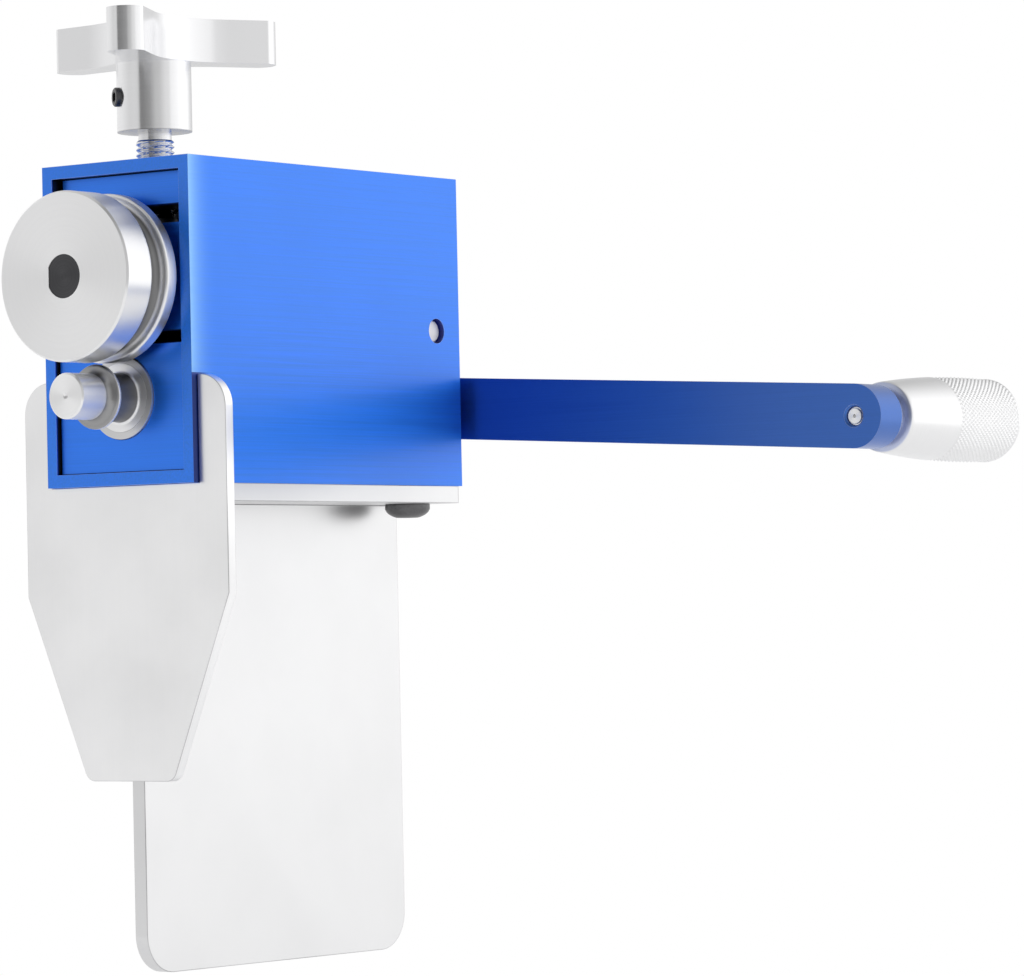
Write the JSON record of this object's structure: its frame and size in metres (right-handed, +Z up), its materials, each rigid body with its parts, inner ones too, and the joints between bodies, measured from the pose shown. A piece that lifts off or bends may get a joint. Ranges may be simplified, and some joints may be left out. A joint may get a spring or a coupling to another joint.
{
  "type": "tube beader",
  "caption": "Hand-cranked tube beader for a bench vise: a ridged lower roll turned by a crank rolls a bead against a grooved upper roll that a knob presses down.",
  "frame": {"origin": "on the right-hand face of the vise plate, in the middle of the stretch that the jaws hold", "axes": "+X out of that face to the right, +Y from the dies to the crank, +Z up to the knob"},
  "size_m": [0.2345, 0.2386, 0.2955],
  "materials": {
    "blue_anodised": "brushed and anodised blue",
    "satin_aluminium": "turned and milled, satin",
    "polished_steel": "finely turned",
    "stainless_plate": "polished sheet",
    "black_steel": "black oxide",
    "dark_steel": "dark turned",
    "bronze": "sintered bearing bronze",
    "spring_steel": "drawn wire"
  },
  "bodies": {
    "frame": {"housing_tube": "blue_anodised", "top_block": "blue_anodised", "lower_block": "blue_anodised", "base_plate": "stainless_plate", "vise_plate": "stainless_plate", "tube_stop": "stainless_plate", "base_screws": "black_steel", "top_block_screws": "black_steel", "pivot_pin": "polished_steel", "drive_front_bush": "polished_steel", "drive_rear_bush": "bronze", "rocker_springs": "spring_steel"},
    "rocker": {"rocker_block": "blue_anodised", "upper_front_bush": "bronze", "upper_rear_bush": "bronze"},
    "upper_roll": {"upper_shaft": "dark_steel", "upper_die": "polished_steel", "upper_die_set_screw": "black_steel", "upper_retaining_ring": "dark_steel"},
    "crank": {"drive_shaft": "polished_steel", "crank_spacer": "polished_steel", "crank_arm": "blue_anodised", "crank_set_screw": "black_steel", "grip_spindle": "polished_steel", "grip_washer": "polished_steel"},
    "handle": {"grip": "satin_aluminium"},
    "pad": {"pressure_pad": "dark_steel"},
    "screw": {"pressure_screw": "polished_steel", "tri_knob": "satin_aluminium", "knob_set_screw": "black_steel"}
  },
  "joints": [
    {"name": "crank_spin", "type": "hinge", "parent": "frame", "child": "crank", "pos_m": [-0.0025, 0.0736, 0.1475], "axis": [0, 1, 0], "continuous": true},
    {"name": "grip_spin", "type": "hinge", "parent": "crank", "child": "handle", "pos_m": [0.1772, 0.1126, 0.13714], "axis": [0, 1, 0], "continuous": true},
    {"name": "upper_die_spin", "type": "hinge", "parent": "rocker", "child": "upper_roll", "pos_m": [-0.0025, -0.0094, 0.1839], "axis": [0, 1, 0], "continuous": true},
    {"name": "screw_turn", "type": "hinge", "parent": "pad", "child": "screw", "pos_m": [-0.0025, -0.05, 0.2205], "axis": [0, 0, 1], "range_deg": [-400, 720]},
    {"name": "screw_travel", "type": "slide", "parent": "frame", "child": "pad", "axis": [0, 0, 1], "range_m": [-0.00195, 0.0035]},
    {"name": "rocker_tilt", "type": "hinge", "parent": "frame", "child": "rocker", "pos_m": [-0.0025, 0.0518, 0.1706], "axis": [-1, 0, 0], "range_deg": [-1.09, 1.97], "deforming": ["rocker_springs"]}
  ],
  "couplings": [
    {"joint": "screw_travel", "follows": "screw_turn", "m_per_rad": 0.00027852},
    {"joint": "rocker_tilt", "follows": "screw_turn", "ratio": 0.002736}
  ]
}
